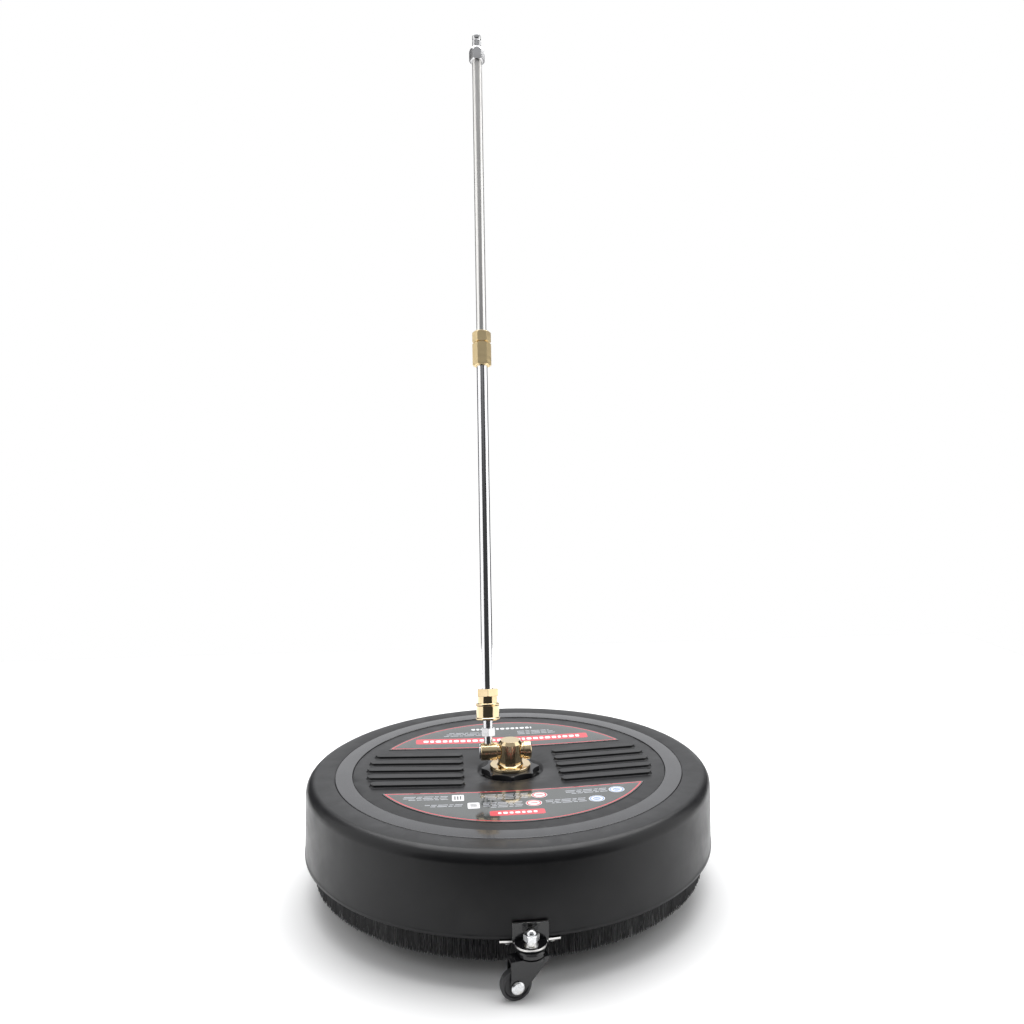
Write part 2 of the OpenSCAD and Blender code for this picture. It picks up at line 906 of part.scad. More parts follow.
// One arm: a tube out from the hub, and the canted holder of the nozzle at its end
module spray_arm(turn) {
    end_x = nozzle_r;
    color(steel)
        on_bar(turn)
            difference() {
                union() {
                    translate([bar_s0, 0, 0])
                        rotate([0, 90, 0])
                            cylinder(r = bar_r, h = end_x - bar_s0);
                    translate([end_x, 0, 0])
                        rotate([180 - nozzle_cant, 0, 0])
                            translate([0, 0, -holder_up])
                                cylinder(r = holder_r, h = holder_up + nozzle_drop);
                }
                translate([bar_s0 - 1, 0, 0])
                    rotate([0, 90, 0])
                        cylinder(r = bar_bore_r, h = end_x - bar_s0 + 1);
                translate([end_x, 0, 0])
                    rotate([180 - nozzle_cant, 0, 0])
                        cylinder(r = holder_bore_r, h = nozzle_drop + 1);
            }
}

module spray_arm_a() spray_arm(0);
module spray_arm_b() spray_arm(180);

module arm_nuts() {
    color(steel)
        for (turn = [0, 180])
            on_bar(turn)
                translate([hub_r + 0.2, 0, 0])
                    rotate([0, 90, 0])
                        difference() {
                            hex(arm_nut_af, arm_nut_l);
                            translate([0, 0, -1])
                                cylinder(r = bar_r, h = arm_nut_l + 2);
                        }
}

module nozzle(turn) {
    color(brass)
        on_bar(turn)
            translate([nozzle_r, 0, 0])
                rotate([180 - nozzle_cant, 0, 0])
                    translate([0, 0, nozzle_drop + 0.05])
                        difference() {
                            union() {
                                hex(2 * nozzle_body_r, nozzle_hex_l, 0.6);
                                translate([0, 0, nozzle_hex_l - eps])
                                    cylinder(r1 = nozzle_body_r * 0.85, r2 = nozzle_tip_r,
                                             h = nozzle_l - nozzle_hex_l);
                            }
                            translate([0, 0, -1])
                                cylinder(r = 1, h = nozzle_l + 2);
                            translate([-nozzle_tip_r - 1, -0.6, nozzle_l - 1.2])
                                cube([2 * nozzle_tip_r + 2, 1.2, 2]);
                        }
}

module nozzle_a() nozzle(0);
module nozzle_b() nozzle(180);

// ---- casters ----

// Bent plate: two wings under the rim, a half-round shelf, and an upright against the side
module bracket(i) {
    color(black)
        at_caster(i)
            difference() {
                union() {
                    translate([0, 0, rim_z - plate_t])
                        linear_extrude(plate_t) {
                            intersection() {
                                difference() {
                                    circle(r = base_ro);
                                    circle(r = base_ri);
                                }
                                translate([-wing, -base_ro - 1])
                                    square([2 * wing, wing_depth]);
                            }
                            translate([0, -shelf_at])
                                circle(r = shelf_r);
                            translate([-shelf_r, -shelf_at])
                                square([2 * shelf_r, shelf_web]);
                        }
                    translate([-upright_half, -upright_r0 - upright_t, rim_z - plate_t])
                        cube([2 * upright_half, upright_t, plate_t + upright_h]);
                }
                translate([0, -stem_r, rim_z - plate_t - 1])
                    cylinder(r = stem_bolt_r + 0.1, h = plate_t + 2);
                cylinder(r = base_ri, h = rim_z + 1);
                for (x = [-bracket_screw_y, bracket_screw_y])
                    translate([x, -sqrt(pow(bracket_screw_r, 2) - x * x), rim_z - plate_t - 1])
                        cylinder(r = screw_shank_r, h = plate_t + 2);
            }
}

module bracket_front() bracket(FRONT);
module bracket_right() bracket(RIGHT);
module bracket_left() bracket(LEFT);

module bracket_screws() {
    color(steel)
        at_bracket_screws()
            translate([0, 0, rim_z - plate_t])
                pan_screw();
}

module stem_washers() {
    color(steel)
        for (i = [0 : casters - 1])
            at_caster(i)
                translate([0, -stem_r, rim_z])
                    tube(washer_ro, stem_bolt_r + 0.1, washer_h);
}

module stem_nuts() {
    color(steel)
        for (i = [0 : casters - 1])
            at_caster(i)
                translate([0, -stem_r, rim_z + washer_h])
                    difference() {
                        union() {
                            cylinder(r = nut_collar_r, h = nut_collar_h + eps);
                            translate([0, 0, nut_collar_h])
                                hex(stem_nut_af, stem_nut_h, 1);
                            translate([0, 0, nut_collar_h + stem_nut_h - eps])
                                rotate_extrude()
                                    polygon(concat([[0, 0]], [for (i = [0 : 8]) let (a = 90 * i / 8)
                                        [stem_dome_r * cos(a), stem_dome_h * sin(a)]]));
                        }
                        translate([0, 0, -1])
                            cylinder(r = stem_bolt_r, h = nut_collar_h + stem_nut_h);
                    }
}

// Threaded stem, its head under the shelf, and the pin on which the fork turns
module caster_stem(i) {
    top = rim_z + washer_h + nut_collar_h + stem_nut_h - 1.2;
    pin_z0 = crown_z1 - crown_t - pin_head_h - 0.2;
    edge = 1;
    color(black)
        at_caster(i)
            translate([0, -stem_r, 0])
                rotate_extrude()
                    polygon([[0, pin_z0], [pin_head_r - 0.5, pin_z0], [pin_head_r, pin_z0 + 0.5],
                             [pin_head_r, pin_z0 + pin_head_h], [pin_r, pin_z0 + pin_head_h], [pin_r, head_z0],
                             [head_r - edge, head_z0], [head_r, head_z0 + edge], [head_r, head_z1 - edge],
                             [head_r - edge, head_z1], [stem_bolt_r, head_z1], [stem_bolt_r, top], [0, top]]);
}

module caster_stem_front() caster_stem(FRONT);
module caster_stem_right() caster_stem(RIGHT);
module caster_stem_left() caster_stem(LEFT);

// Side view of a cheek: square to the crown in front, round about the axle behind
module cheek_outline() {
    tangent = atan2(crown_z1 - crown_t - wheel_r, cheek_front + trail)
        - asin(cheek_end_r / norm([cheek_front + trail, crown_z1 - crown_t - wheel_r]));
    polygon(concat(
        [[cheek_front, crown_z1 - crown_t], [cheek_front, crown_z1], [-trail - cheek_back, crown_z1]],
        arc(-trail, wheel_r, cheek_end_r, 180 + acos(cheek_back / cheek_end_r), 270 + tangent, 16)));
}

module caster_fork(i) {
    half = cheek_in + cheek_t;
    color(black)
        on_fork(i)
            difference() {
                union() {
                    for (side = [-1, 1])
                        translate([0, side * (cheek_in + cheek_t / 2) + cheek_t / 2, 0])
                            rotate([90, 0, 0])
                                linear_extrude(cheek_t)
                                    cheek_outline();
                    translate([-trail - cheek_back, -half, crown_z1 - crown_t])
                        cube([trail + cheek_back + cheek_front, 2 * half, crown_t]);
                    translate([0, 0, crown_z1 - crown_t])
                        cylinder(r = head_r, h = crown_t);
                }
                translate([0, 0, crown_z1 - crown_t - 1])
                    cylinder(r = pin_r + fit, h = crown_t + 2);
                translate([-trail, half + 1, wheel_r])
                    rotate([90, 0, 0])
                        cylinder(r = axle_r, h = 2 * half + 2);
            }
}

module caster_fork_front() caster_fork(FRONT);
module caster_fork_right() caster_fork(RIGHT);
module caster_fork_left() caster_fork(LEFT);

module caster_axle(i) {
    half = cheek_in + cheek_t;
    color(steel)
        on_fork(i)
            translate([-trail, 0, wheel_r])
                rotate([90, 0, 0])
                    rotate_extrude()
                        polygon([[0, -half - axle_head_t], [axle_head_r - 1, -half - axle_head_t],
                                 [axle_head_r, -half - axle_head_t + 0.8], [axle_head_r, -half], [axle_r, -half],
                                 [axle_r, half], [axle_head_r, half], [axle_head_r, half + axle_head_t - 0.8],
                                 [axle_head_r - 1, half + axle_head_t], [0, half + axle_head_t]]);
}

module caster_axle_front() caster_axle(FRONT);
module caster_axle_right() caster_axle(RIGHT);
module caster_axle_left() caster_axle(LEFT);

module caster_wheel(i) {
    w = wheel_w / 2;
    hub_w = w - 0.2;
    rim_in_r = wheel_r - 2.6;
    color("#303032")
        on_fork(i)
            translate([-trail, 0, wheel_r])
                rotate([90, 0, 0])
                    rotate_extrude()
                        polygon(concat(
                            [[axle_r + fit, -w], [5, -w], [5.6, -hub_w + 1], [rim_in_r - 0.6, -hub_w + 1],
                             [rim_in_r, -hub_w]],
                            arc(wheel_r - 1.6, -hub_w + 1.6, 1.6, -90, 0, 5),
                            arc(wheel_r - 1.6, hub_w - 1.6, 1.6, 0, 90, 5),
                            [[rim_in_r, hub_w], [rim_in_r - 0.6, hub_w - 1], [5.6, hub_w - 1], [5, w],
                             [axle_r + fit, w]]));
}

module caster_wheel_front() caster_wheel(FRONT);
module caster_wheel_right() caster_wheel(RIGHT);
module caster_wheel_left() caster_wheel(LEFT);

// The spin axis stands this far behind the middle of the footprint, where the origin is
module from_origin() {
    translate([0, footprint_shift, 0])
        children();
}

from_origin() shroud();
from_origin() trim_ring();
from_origin() label_front();
from_origin() label_rear();
from_origin() brush_carrier();
from_origin() brush_skirt();
from_origin() brush_screws();
from_origin() deck_gasket();
from_origin() lock_knob();
from_origin() deck_washer();
from_origin() clamp_nut();
from_origin() swivel_body();
from_origin() pivot_spindle();
from_origin() pivot_cap();
from_origin() upper_bearing();
from_origin() lower_bearing();
from_origin() shaft_seal();
from_origin() bearing_circlip();
from_origin() inlet_elbow();
from_origin() elbow_plug();
from_origin() coupler_body();
from_origin() coupler_seal();
from_origin() lock_balls();
from_origin() sleeve_spring();
from_origin() lower_tube();
from_origin() joint_socket();
from_origin() joint_nut();
from_origin() upper_tube();
from_origin() top_collar();
from_origin() top_plug();
from_origin() coupler_sleeve();
from_origin() rotor_shaft();
from_origin() rotor_hub();
from_origin() hub_nut();
from_origin() spray_arm_a();
from_origin() spray_arm_b();
from_origin() arm_nuts();
from_origin() nozzle_a();
from_origin() nozzle_b();
from_origin() bracket_screws();
from_origin() stem_washers();
from_origin() stem_nuts();
from_origin() bracket_front();
from_origin() bracket_right();
from_origin() bracket_left();
from_origin() caster_stem_front();
from_origin() caster_stem_right();
from_origin() caster_stem_left();
from_origin() caster_fork_front();
from_origin() caster_fork_right();
from_origin() caster_fork_left();
from_origin() caster_axle_front();
from_origin() caster_axle_right();
from_origin() caster_axle_left();
from_origin() caster_wheel_front();
from_origin() caster_wheel_right();
from_origin() caster_wheel_left();
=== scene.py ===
"""Flat surface cleaner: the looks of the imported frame, its camera and its light."""

import json
import math
import random

import bmesh
import bpy
from mathutils import Matrix, Vector


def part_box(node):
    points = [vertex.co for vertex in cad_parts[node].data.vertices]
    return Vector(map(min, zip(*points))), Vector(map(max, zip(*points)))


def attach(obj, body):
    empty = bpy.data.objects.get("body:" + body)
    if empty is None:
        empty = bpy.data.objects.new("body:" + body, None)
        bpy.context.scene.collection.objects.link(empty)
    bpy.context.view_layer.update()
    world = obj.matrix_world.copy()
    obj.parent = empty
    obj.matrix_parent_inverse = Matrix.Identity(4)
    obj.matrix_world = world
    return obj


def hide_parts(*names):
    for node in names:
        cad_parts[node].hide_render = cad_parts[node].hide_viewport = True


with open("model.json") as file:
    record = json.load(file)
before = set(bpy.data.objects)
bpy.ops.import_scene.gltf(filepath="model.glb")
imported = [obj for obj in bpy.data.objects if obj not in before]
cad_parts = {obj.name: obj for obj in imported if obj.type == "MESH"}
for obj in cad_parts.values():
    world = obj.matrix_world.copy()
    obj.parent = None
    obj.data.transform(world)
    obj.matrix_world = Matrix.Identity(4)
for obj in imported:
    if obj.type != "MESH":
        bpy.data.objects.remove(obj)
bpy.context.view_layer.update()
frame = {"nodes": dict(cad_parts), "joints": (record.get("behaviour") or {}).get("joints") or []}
nodes = frame["nodes"]

MM = 0.001
RNG = random.Random(7)
CORNERS = ("front", "right", "left")


# ---- places taken from the frame ----

def joint(name):
    """The frame's joint of that name."""
    return next(j for j in frame["joints"] if j["name"] == name)


SPIN_AXIS = Vector((*joint("rotor_spin")["pos_m"][:2], 0))
ABOUT_SPIN = Matrix.Translation(SPIN_AXIS)
TILT_POINT = Vector(joint("lance_tilt")["pos_m"])
LANCE_AXIS = Vector(joint("lance_turn")["axis"])
LEAN = math.atan2(LANCE_AXIS.y, LANCE_AXIS.z)
LANCE_ORIGIN = Vector((joint("lance_turn")["pos_m"][0], TILT_POINT.y, TILT_POINT.z))
# +Z along the lance, origin on the tilt axis
LANCE_FRAME = Matrix.Translation(LANCE_ORIGIN) @ Matrix.Rotation(-LEAN, 4, "X")


def along_lance(node):
    """Lowest and highest distance of a CAD node from the tilt axis, measured along the lance."""
    spots = [(v.co - LANCE_ORIGIN).dot(LANCE_AXIS) for v in nodes[node].data.vertices]
    return min(spots), max(spots)


def radius_about_spin(node):
    """Largest distance of a CAD node's vertices from the spin axis."""
    return max((v.co - SPIN_AXIS).xy.length for v in nodes[node].data.vertices)


# top of the caster brackets' plates, on which the washers lie
PLATE_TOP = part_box("stem_washers")[0][2]


# ---- shader helpers ----

class Look:
    """A material under construction, with short names for the nodes that the looks below use. Its first
    colour, roughness and metallic value are what shows wherever those nodes are left out."""

    def __init__(self, name, color, roughness, metallic=0.0):
        self.material = bpy.data.materials.new(name)
        self.material.use_nodes = True
        self.tree = self.material.node_tree
        self.shader = self.tree.nodes["Principled BSDF"]
        self.set("Base Color", (*color, 1.0))
        self.set("Roughness", roughness)
        self.set("Metallic", metallic)
        self.coords = self.add("ShaderNodeTexCoord").outputs["Object"]

    def add(self, kind):
        return self.tree.nodes.new(kind)

    def link(self, source, target):
        self.tree.links.new(source, target)

    def set(self, socket, value):
        self.shader.inputs[socket].default_value = value

    def placed(self, stretch, turn):
        """Object coordinates, turned and stretched."""
        mapping = self.add("ShaderNodeMapping")
        mapping.vector_type = "TEXTURE"
        mapping.inputs["Rotation"].default_value = turn
        mapping.inputs["Scale"].default_value = stretch
        self.link(self.coords, mapping.inputs["Vector"])
        return mapping.outputs["Vector"]

    def noise(self, scale, detail, rough=0.5, stretch=(1, 1, 1), turn=(0, 0, 0)):
        node = self.add("ShaderNodeTexNoise")
        node.inputs["Scale"].default_value = scale
        node.inputs["Detail"].default_value = detail
        node.inputs["Roughness"].default_value = rough
        self.link(self.placed(stretch, turn), node.inputs["Vector"])
        return node.outputs["Fac"]

    def levels(self, value, low, high, low_to=0.0, high_to=1.0):
        """Spreads a value between low and high over low_to to high_to."""
        node = self.add("ShaderNodeMapRange")
        node.inputs["From Min"].default_value = low
        node.inputs["From Max"].default_value = high
        node.inputs["To Min"].default_value = low_to
        node.inputs["To Max"].default_value = high_to
        self.link(value, node.inputs["Value"])
        return node.outputs["Result"]

    def mix(self, factor, first, second):
        """Blend of two colours."""
        node = self.add("ShaderNodeMix")
        node.data_type = "RGBA"
        self.link(factor, node.inputs["Factor"])
        node.inputs["A"].default_value = (*first, 1.0)
        node.inputs["B"].default_value = (*second, 1.0)
        return node.outputs["Result"]

    def color(self, source):
        self.link(source, self.shader.inputs["Base Color"])

    def roughness(self, source):
        self.link(source, self.shader.inputs["Roughness"])

    def bump(self, height, strength, distance):
        """Adds a bump on top of those already there."""
        node = self.add("ShaderNodeBump")
        node.inputs["Strength"].default_value = strength
        node.inputs["Distance"].default_value = distance
        self.link(height, node.inputs["Height"])
        last = self.shader.inputs["Normal"]
        if last.is_linked:
            self.link(last.links[0].from_socket, node.inputs["Normal"])
        self.link(node.outputs["Normal"], last)

    def uneven(self, noise, low, high):
        """Roughness that wanders between low and high."""
        self.roughness(self.levels(noise, 0.3, 0.7, low, high))

    def coat(self, weight, rough):
        self.set("Coat Weight", weight)
        self.set("Coat Roughness", rough)


def scaled(color, factor):
    return tuple(c * factor for c in color)


# ---- materials ----

def moulded_plastic(name, color, rough, pebble=0.25, shine=0.5):
    """Injection-moulded plastic: a fine pebbled skin, faint flow marks and rubbed patches."""
    look = Look(name, color, rough)
    flow = look.levels(look.noise(9, detail=4, rough=0.6), 0.35, 0.7)
    look.color(look.mix(flow, scaled(color, 0.9), scaled(color, 1.12)))
    look.uneven(look.noise(45, detail=3, rough=0.55), rough - 0.05, rough + 0.06)
    look.bump(look.noise(1500, detail=2, rough=0.6), pebble, 0.05 * MM)
    look.bump(look.noise(160, detail=2), 0.1, 0.12 * MM)
    look.set("Specular IOR Level", shine)
    return look.material


def printed_film(name, color, rough=0.06, shine=0.5):
    """Glossy laminated film with a slight orange-peel skin."""
    look = Look(name, color, rough)
    tone = look.levels(look.noise(26, detail=3), 0.35, 0.65)
    look.color(look.mix(tone, scaled(color, 0.93), scaled(color, 1.06)))
    look.uneven(look.noise(60, detail=3, rough=0.6), rough - 0.02, rough + 0.04)
    look.bump(look.noise(900, detail=1), 0.04, 0.005 * MM)
    look.set("Specular IOR Level", shine)
    look.coat(0.3, 0.03)
    return look.material


def turned_metal(name, color, dark, rough, turn=(0, 0, 0)):
    """Metal turned on a lathe: fine rings across the axis, and a thin uneven tarnish.

    turn lays the texture's +Z on the piece's axis."""
    look = Look(name, color, rough, 1.0)
    tarnish = look.levels(look.noise(38, detail=3), 0.5, 0.85)
    look.color(look.mix(tarnish, color, dark))
    rings = look.noise(300, detail=2, rough=0.6, stretch=(6, 6, 1), turn=turn)
    look.uneven(rings, rough - 0.03, rough + 0.05)
    tool_marks = look.noise(2600, detail=1, stretch=(30, 30, 1), turn=turn)
    look.bump(tool_marks, 0.08, 0.006 * MM)
    return look.material


def drawn_steel(name, color, rough, turn=(0, 0, 0)):
    """Drawn and polished tube: faint streaks along its length and a few handling marks."""
    look = Look(name, color, rough, 1.0)
    marks = look.levels(look.noise(35, detail=4, rough=0.6), 0.55, 0.8)
    look.color(look.mix(marks, color, scaled(color, 0.86)))
    streaks = look.noise(1300, detail=2, rough=0.6, stretch=(1, 1, 60), turn=turn)
    look.uneven(streaks, rough - 0.03, rough + 0.05)
    scratches = look.noise(2300, detail=1, stretch=(1, 1, 80), turn=turn)
    look.bump(scratches, 0.1, 0.006 * MM)
    return look.material


def zinc_plate(name):
    """Zinc-plated steel: cool grey with a faint yellow bloom and fine pits."""
    cool, yellow = (0.76, 0.77, 0.78), (0.66, 0.63, 0.55)
    look = Look(name, (0.72, 0.73, 0.74), 0.28, 1.0)
    bloom = look.levels(look.noise(110, detail=3), 0.45, 0.7)
    look.color(look.mix(bloom, cool, yellow))
    look.uneven(look.noise(420, detail=2, rough=0.6), 0.2, 0.38)
    look.bump(look.noise(1900, detail=2), 0.2, 0.02 * MM)
    return look.material


def black_paint(name):
    """Glossy black e-coat on sheet steel, slightly wavy, with paler rubbed spots."""
    black, worn = (0.006, 0.006, 0.007), (0.022, 0.021, 0.021)
    look = Look(name, (0.008, 0.008, 0.009), 0.2)
    rubbed = look.levels(look.noise(130, detail=4, rough=0.65), 0.6, 0.85)
    look.color(look.mix(rubbed, black, worn))
    look.uneven(look.noise(260, detail=3, rough=0.6), 0.14, 0.28)
    look.bump(look.noise(700, detail=2), 0.1, 0.03 * MM)
    look.coat(0.25, 0.06)
    return look.material


def cut_edge(name):
    """A sheared edge of painted plate: bare steel above, and black below a ragged line, which is painted
    shade for the darker lower part of the edge.
    """
    # black here is painted shade on the lower part of the edge; steel is the bare metal above it
    black, steel = (0.010, 0.010, 0.011), (0.76, 0.75, 0.73)
    painted_shade_end, blend_width, raggedness = 1.45 * MM, 0.2 * MM, 0.5 * MM
    look = Look(name, (0.74, 0.73, 0.71), 0.28, 1.0)
    apart = look.add("ShaderNodeSeparateXYZ")
    look.link(look.coords, apart.inputs["Vector"])
    ragged = look.add("ShaderNodeMath")
    ragged.operation = "MULTIPLY_ADD"
    ragged.inputs[1].default_value = raggedness
    look.link(look.noise(900, detail=2, rough=0.6, stretch=(1, 1, 6)), ragged.inputs[0])
    look.link(apart.outputs["Z"], ragged.inputs[2])
    # below this height the edge is painted shade: black and not metallic
    low = PLATE_TOP - painted_shade_end
    bare = look.levels(ragged.outputs["Value"], low, low + blend_width)
    look.color(look.mix(bare, black, steel))
    look.link(bare, look.shader.inputs["Metallic"])
    look.bump(look.noise(1500, detail=1, stretch=(1, 1, 14)), 0.2, 0.02 * MM)
    return look.material


def soft_rubber(name):
    """Matt black rubber with dust in its fine grain."""
    black, dusty = (0.014, 0.014, 0.014), (0.05, 0.05, 0.048)
    look = Look(name, (0.018, 0.018, 0.018), 0.75)
    dust = look.levels(look.noise(210, detail=3, rough=0.6), 0.5, 0.8)
    look.color(look.mix(dust, black, dusty))
    look.bump(look.noise(1400, detail=2, rough=0.6), 0.3, 0.05 * MM)
    return look.material


def bristle_fibre(name):
    """Black nylon fibre, a little paler and duller on some strands."""
    black, pale = (0.008, 0.008, 0.009), (0.034, 0.034, 0.036)
    look = Look(name, (0.014, 0.014, 0.015), 0.42)
    strands = look.levels(look.noise(520, detail=1, stretch=(1, 1, 12)), 0.35, 0.7)
    look.color(look.mix(strands, black, pale))
    look.uneven(look.noise(300, detail=1, stretch=(1, 1, 20)), 0.34, 0.58)
    return look.material


def ink(name, color):
    """Screen-printed ink on film: even colour with a faint mottle."""
    look = Look(name, color, 0.22)
    mottle = look.levels(look.noise(420, detail=2, rough=0.6), 0.3, 0.7)
    look.color(look.mix(mottle, scaled(color, 0.9), color))
    look.bump(look.noise(900, detail=2), 0.1, 0.02 * MM)
    look.coat(0.3, 0.1)
    return look.material


BRASS = (0.80, 0.64, 0.40)
BRASS_DARK = (0.62, 0.46, 0.26)
PALE_BRASS = (0.95, 0.76, 0.44)
PALE_BRASS_DARK = (0.82, 0.62, 0.34)
STEEL = (0.74, 0.74, 0.75)
STEEL_DARK = (0.58, 0.57, 0.56)
ALONG_X = (0, math.pi / 2, 0)
ALONG_LANCE = (-LEAN, 0, 0)

MATERIAL = {
    "shell": moulded_plastic("moulded_black", (0.009, 0.009, 0.010), 0.34, shine=0.27),
    "knob": moulded_plastic("knob_black", (0.016, 0.016, 0.018), 0.34, 0.15),
    "trim": printed_film("trim_grey", (0.045, 0.045, 0.048), 0.13, 0.3),
    "label": printed_film("label_black", (0.055, 0.060, 0.058)),
    "fibre": bristle_fibre("bristle_black"),
    "brass_z": turned_metal("brass_upright", BRASS, BRASS_DARK, 0.15),
    "brass_x": turned_metal("brass_sideways", BRASS, BRASS_DARK, 0.2, ALONG_X),
    "brass_lance": turned_metal("brass_lance", BRASS, BRASS_DARK, 0.11, ALONG_LANCE),
    "brass_satin": turned_metal("brass_satin", PALE_BRASS, PALE_BRASS_DARK, 0.42, ALONG_LANCE),
    "steel_lance": turned_metal("steel_turned", STEEL, STEEL_DARK, 0.2, ALONG_LANCE),
    "steel_x": turned_metal("steel_sideways", STEEL, STEEL_DARK, 0.22, ALONG_X),
    "steel_z": turned_metal("steel_upright", (0.70, 0.70, 0.71), (0.52, 0.51, 0.50), 0.25),
    "tube_bright": drawn_steel("tube_polished", (0.80, 0.80, 0.82), 0.1, ALONG_LANCE),
    "tube_satin": drawn_steel("tube_satin", (0.80, 0.79, 0.77), 0.29, ALONG_LANCE),
    "zinc": zinc_plate("zinc_plated"),
    "paint": black_paint("black_ecoat"),
    "cut_steel": cut_edge("steel_cut_edge_painted_shade"),
    "rubber": soft_rubber("black_rubber"),
    "wheel": moulded_plastic("wheel_nylon", (0.028, 0.028, 0.030), 0.36, 0.15),
    "ink_red": ink("ink_red", (0.62, 0.05, 0.07)),
    "ink_white": ink("ink_white", (0.80, 0.80, 0.82)),
    "ink_grey": ink("ink_grey", (0.34, 0.35, 0.38)),
    "ink_blue": ink("ink_blue", (0.22, 0.32, 0.52)),
}


# ---- mesh helpers ----

# degrees between faces
SMOOTH_UP_TO = 32
SMOOTH_PRINT_UP_TO = 20
SMOOTH_FIBRE_UP_TO = 60
BEVEL_FROM = 38
WELD_WITHIN = 0.002 * MM
FACE_WEIGHT = 80


def smooth(mesh, angle=SMOOTH_UP_TO):
    """Smooth shading, with edges sharper than angle (degrees) kept crisp."""
    mesh.polygons.foreach_set("use_smooth", [True] * len(mesh.polygons))
    mesh.set_sharp_from_angle(angle=math.radians(angle))


def piece(name, verts, faces, place, material, body, replaced=(), angle=SMOOTH_UP_TO):
    """A new mesh piece, moved to its place, that rides on a body and belongs to a material slot."""
    mesh = bpy.data.meshes.new(name)
    mesh.from_pydata([tuple(v) for v in verts], [], faces)
    mesh.transform(place)
    mesh.validate()
    bm = bmesh.new()
    bm.from_mesh(mesh)
    bmesh.ops.recalc_face_normals(bm, faces=bm.faces)
    bm.to_mesh(mesh)
    bm.free()
    smooth(mesh, angle)
    mesh.materials.append(material)
    obj = bpy.data.objects.new(name, mesh)
    bpy.context.scene.collection.objects.link(obj)
    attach(obj, body)
    if replaced:
        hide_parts(*replaced)


def swept_circle(points, wire_r, sides=10):
    """A round wire along points, closed at both ends; it nowhere runs straight up."""
    verts, faces = [], []
    for i, p in enumerate(points):
        ahead = points[min(i + 1, len(points) - 1)]
        behind = points[max(i - 1, 0)]
        tangent = (ahead - behind).normalized()
        side = tangent.cross(Vector((0, 0, 1))).normalized()
        up = side.cross(tangent)
        for k in range(sides):
            a = 2 * math.pi * k / sides
            verts.append(p + side * (wire_r * math.cos(a)) + up * (wire_r * math.sin(a)))
    for i in range(len(points) - 1):
        for k in range(sides):
            j = (k + 1) % sides
            faces.append((i * sides + k, i * sides + j, (i + 1) * sides + j, (i + 1) * sides + k))
    faces.append(tuple(range(sides)))
    faces.append(tuple(range((len(points) - 1) * sides, len(points) * sides)))
    return verts, faces


def dress(node, material, bevel=0.0):
    """Gives a CAD node its material and, where bevel is set, softly rounded edges."""
    obj = nodes[node]
    obj.data.materials.clear()
    obj.data.materials.append(material)
    weld = obj.modifiers.new("weld", "WELD")
    weld.merge_threshold = WELD_WITHIN
    if bevel:
        edge = obj.modifiers.new("edge", "BEVEL")
        edge.width = bevel
        edge.segments = 2
        edge.limit_method = "ANGLE"
        edge.angle_limit = math.radians(BEVEL_FROM)
    smooth(obj.data)
    even = obj.modifiers.new("even", "WEIGHTED_NORMAL")
    even.keep_sharp = True
    even.weight = FACE_WEIGHT


# ---- deck ----

LABEL_R = radius_about_spin("label_front")
LABEL_CHORD = SPIN_AXIS.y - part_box("label_front")[1][1]
LABEL_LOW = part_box("label_front")[0][2]
LABEL_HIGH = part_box("label_front")[1][2]
LABEL_THICK = 0.5 * MM
# top above the label and thickness of each printed layer
PRINT_LAYERS = ((0.03 * MM, 0.05 * MM), (0.08 * MM, 0.1 * MM), (0.12 * MM, 0.1 * MM))
# the printed shapes are cut at this pitch, so that they follow the cone
PRINT_PITCH = 7 * MM
REAR, FRONT = 1, -1


def label_top(x, y):
    """Height of a label's printed face: the labels lie on a shallow cone."""
    r = math.hypot(x, y)
    share = (r - LABEL_CHORD) / (LABEL_R - LABEL_CHORD)
    low = LABEL_LOW + LABEL_THICK
    return low + (LABEL_HIGH - low) * share


def printed(name, outlines, material, side, layer=0):
    """Thin printed shapes on one label. Outlines are drawn for the rear label, in millimetres; the front
    label has them half a turn round."""
    lift, thick = PRINT_LAYERS[layer]
    bm = bmesh.new()
    for outline in outlines:
        face = bm.faces.new([bm.verts.new((x * MM * side, y * MM * side, 0)) for x, y in outline])
        face.normal_update()
    for axis in (Vector((1, 0, 0)), Vector((0, 1, 0))):
        cut = -LABEL_R
        while cut < LABEL_R:
            geometry = bm.verts[:] + bm.edges[:] + bm.faces[:]
            bmesh.ops.bisect_plane(bm, geom=geometry, plane_co=axis * cut, plane_no=axis)
            cut += PRINT_PITCH
    tops = bm.faces[:]
    lower = bmesh.ops.extrude_face_region(bm, geom=tops)
    moved = {v for v in lower["geom"] if isinstance(v, bmesh.types.BMVert)}
    for v in bm.verts:
        top = label_top(v.co.x, v.co.y) + lift
        v.co.z = top if v in moved else top - thick
    verts = [v.co.copy() for v in bm.verts]
    bm.verts.index_update()
    faces = [tuple(v.index for v in f.verts) for f in bm.faces]
    bm.free()
    piece(name, verts, faces, ABOUT_SPIN, material, "base", angle=SMOOTH_PRINT_UP_TO)


def rounded_bar(x0, y0, x1, y1, r, steps=4):
    """Outline of a rectangle with round corners."""
    corners = ((x1 - r, y1 - r, 0), (x0 + r, y1 - r, 90), (x0 + r, y0 + r, 180), (x1 - r, y0 + r, 270))
    points = []
    for cx, cy, start in corners:
        for k in range(steps + 1):
            a = math.radians(start + 90 * k / steps)
            points.append((cx + r * math.cos(a), cy + r * math.sin(a)))
    return points


ROUND_STEPS = 28


def on_circle(cx, cy, r, k):
    """Point k of a circle of ROUND_STEPS points."""
    a = 2 * math.pi * k / ROUND_STEPS
    return cx + r * math.cos(a), cy + r * math.sin(a)


def disc(cx, cy, r):
    """Outline of a disc."""
    return [on_circle(cx, cy, r, k) for k in range(ROUND_STEPS)]


